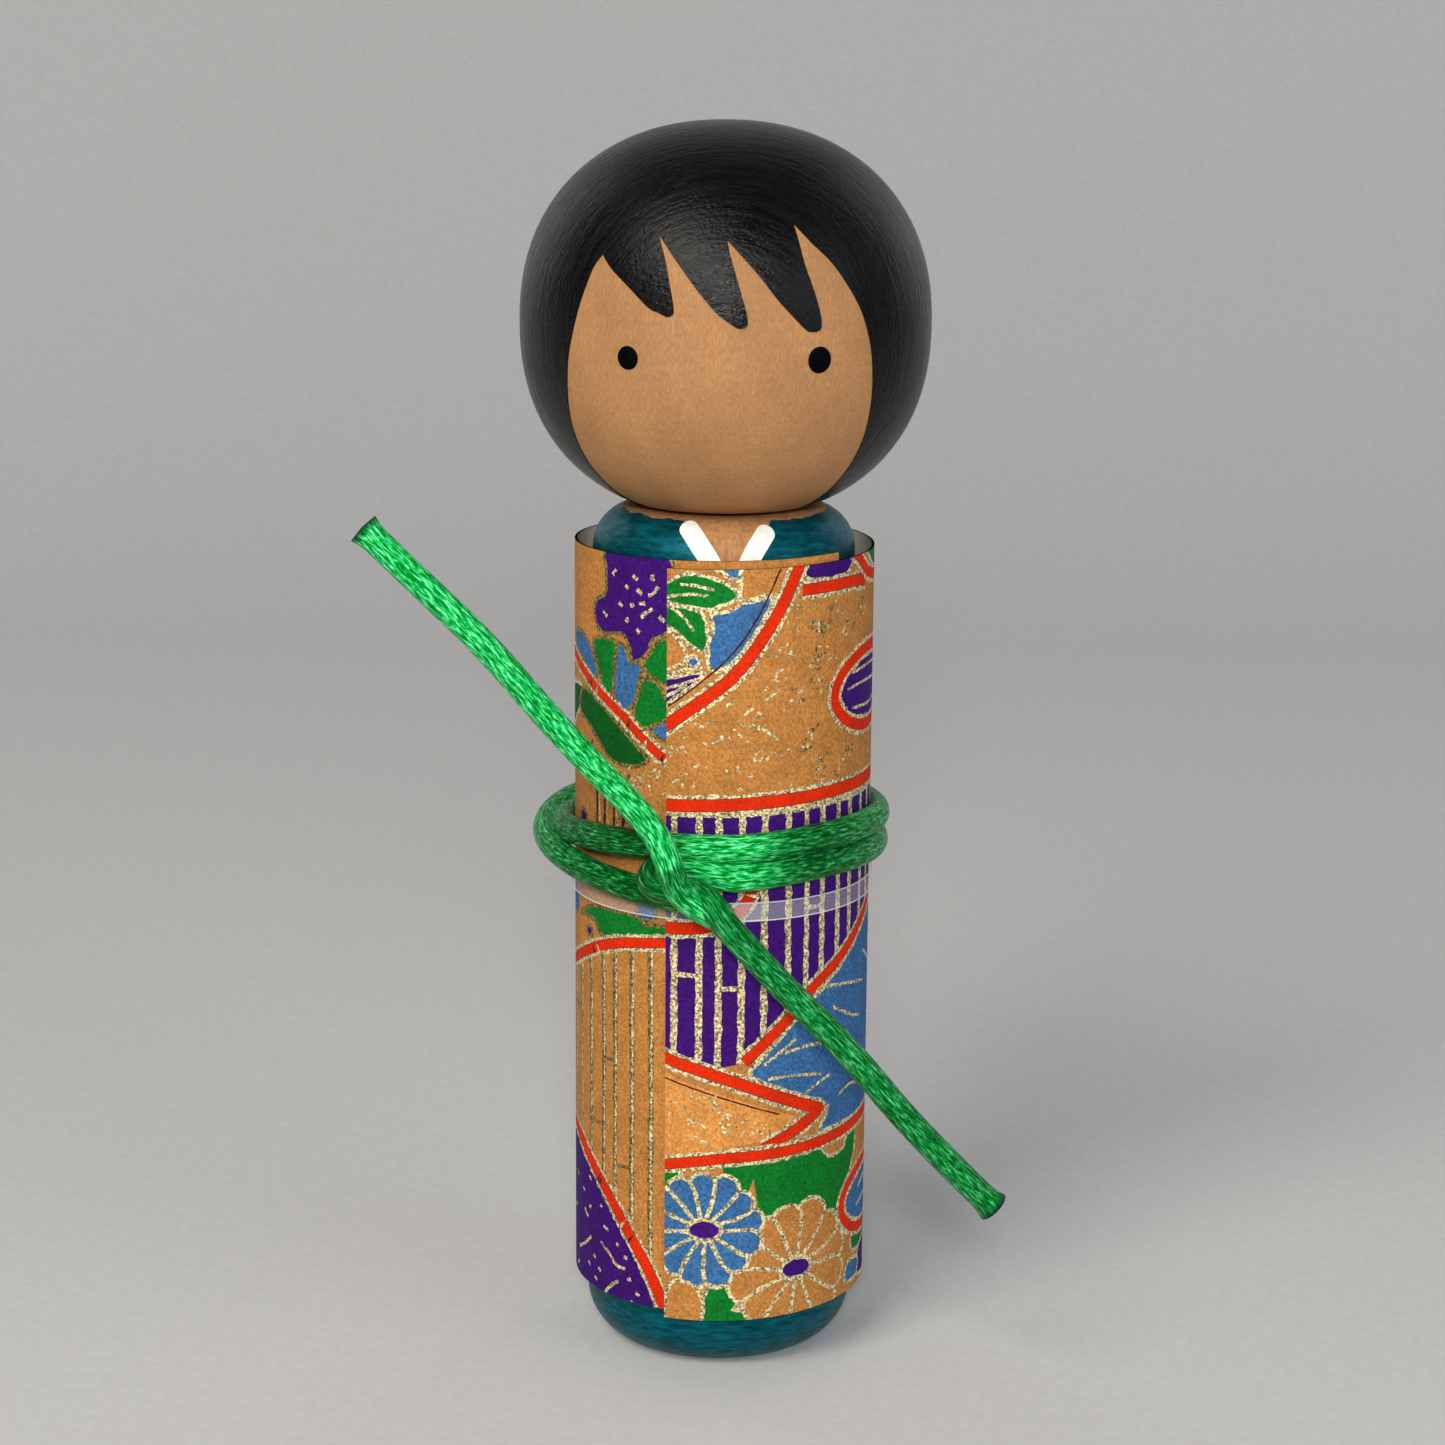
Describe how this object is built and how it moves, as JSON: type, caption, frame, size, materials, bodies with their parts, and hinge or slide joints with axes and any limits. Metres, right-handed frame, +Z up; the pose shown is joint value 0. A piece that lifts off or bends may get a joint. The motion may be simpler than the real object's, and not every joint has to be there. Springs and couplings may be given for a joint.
{
  "type": "kokeshi doll",
  "caption": "Turned wooden kokeshi doll with a turning ball head, wrapped in a rolled printed paper kimono that is tied at the waist with a satin cord.",
  "frame": {"origin": "centre of the flat base, on the surface that the doll stands on", "axes": "+Z up along the doll's turning axis, the face looks along -Y, +X is the viewer's right when looking at the face"},
  "size_m": [0.053, 0.0355, 0.105],
  "materials": {
    "painted_wood": "teal metallic acrylic, satin",
    "natural_wood": "bare turned wood with black painted hair, satin",
    "dowel_wood": "bare",
    "printed_paper": "printed washi paper with gold outlines, satin",
    "foam_tape": "white foam tape",
    "clear_film": "clear glossy film",
    "satin_cord": "green satin cord"
  },
  "bodies": {
    "doll": {"body": "painted_wood", "neck_dowel": "dowel_wood", "kimono_wrap": "printed_paper", "kimono_tape": "foam_tape", "waist_film": "clear_film", "obi_cord_winding": "satin_cord", "obi_cord_knot": "satin_cord", "obi_cord_tail_upper": "satin_cord", "obi_cord_tail_lower": "satin_cord"},
    "head": {"head": "natural_wood"}
  },
  "joints": [
    {"name": "head_turn", "type": "hinge", "parent": "doll", "child": "head", "pos_m": [0, 0, 0.0735], "axis": [0, 0, 1], "continuous": true}
  ]
}
